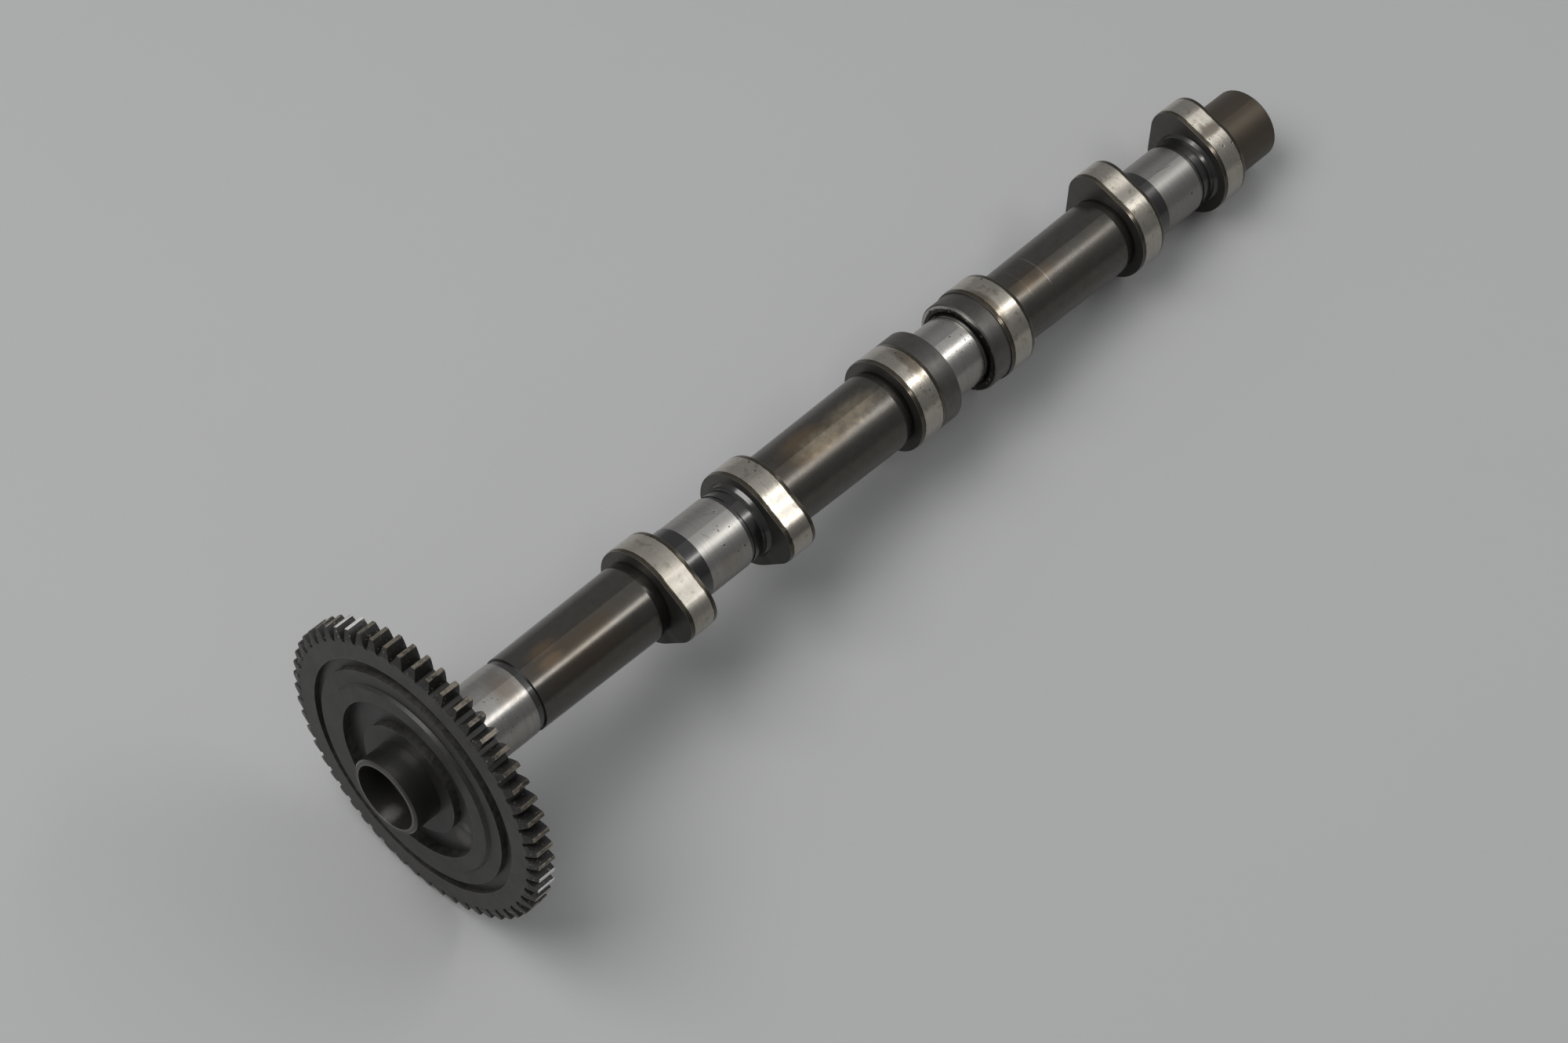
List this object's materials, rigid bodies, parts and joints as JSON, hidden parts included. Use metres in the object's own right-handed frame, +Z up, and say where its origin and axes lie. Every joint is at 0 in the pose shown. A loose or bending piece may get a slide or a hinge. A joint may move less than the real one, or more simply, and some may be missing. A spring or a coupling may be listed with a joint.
{
  "type": "camshaft",
  "caption": "Assembled engine camshaft: a hollow steel tube with ground journals, cam lobes in pairs, thrust rings and a spur drive gear at the front.",
  "frame": {"origin": "on the axis, in the middle of the front journal", "axes": "+X along the axis from the drive gear to the rear end, +Z up; the first lobe pair's noses point along -Y, 13 degrees above it"},
  "size_m": [0.3858, 0.0986, 0.0986],
  "materials": {
    "tube_steel": "dark oiled tube with bright ground journals",
    "cam_steel": "ground lobe faces, black oxidised sides",
    "collar_steel": "black oxidised, oiled",
    "gear_steel": "dark grey, steam treated, oily"
  },
  "bodies": {
    "root": {"camshaft_tube": "tube_steel", "cam_lobe_1": "cam_steel", "cam_lobe_2": "cam_steel", "cam_lobe_3": "cam_steel", "cam_lobe_4": "cam_steel", "cam_lobe_5": "cam_steel", "cam_lobe_6": "cam_steel", "thrust_collar_front": "collar_steel", "thrust_collar_rear": "collar_steel", "drive_gear": "gear_steel"}
  },
  "joints": []
}
